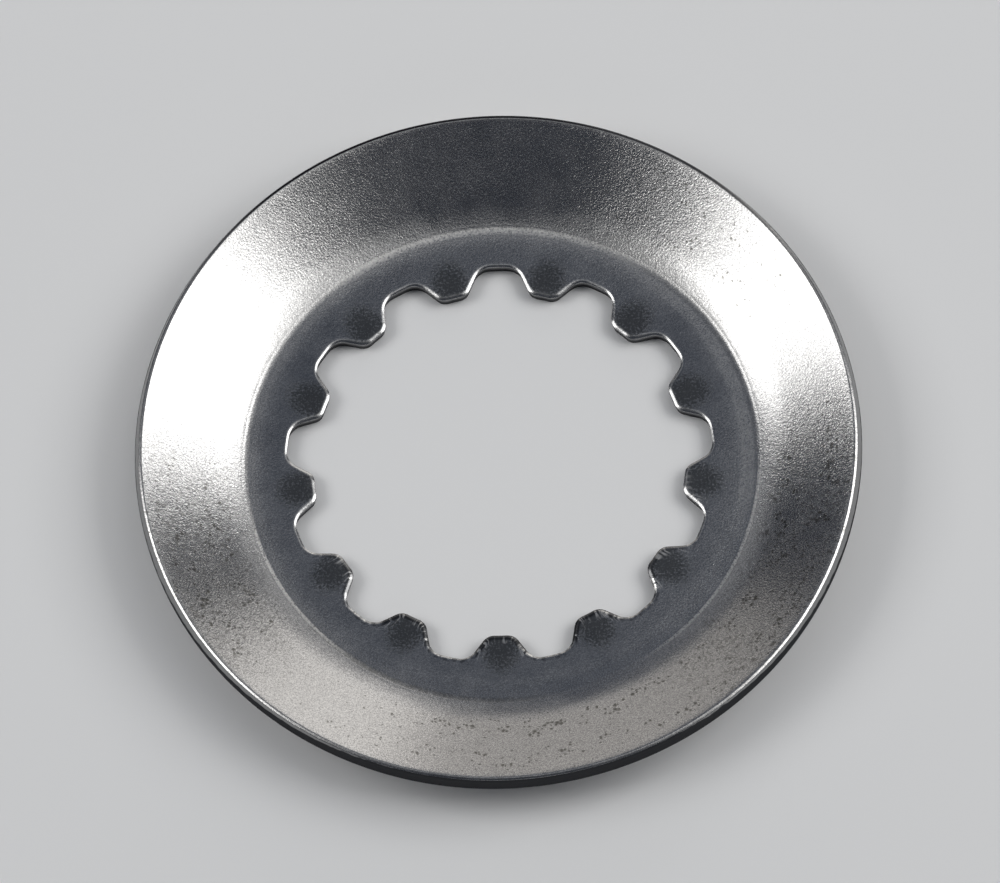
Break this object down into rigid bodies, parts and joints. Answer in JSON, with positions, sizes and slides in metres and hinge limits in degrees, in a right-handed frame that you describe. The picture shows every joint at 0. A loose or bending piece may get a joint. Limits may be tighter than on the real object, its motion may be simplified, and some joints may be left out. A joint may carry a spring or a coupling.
{
  "type": "splined lock washer",
  "caption": "Dished steel lock washer with internal spline teeth, a flat inner ring and a conical rim that is bent up against a nut.",
  "frame": {"origin": "on the washer's axis, in the plane that the flat ring's underside rests on", "axes": "+Z along the axis, from the flat ring towards the raised rim; one tooth points along -Y"},
  "size_m": [0.0428, 0.0428, 0.004],
  "materials": {
    "spring_steel": "bare spring steel, satin, finely mottled, with small dark pits"
  },
  "bodies": {
    "root": {"washer": "spring_steel"}
  },
  "joints": []
}
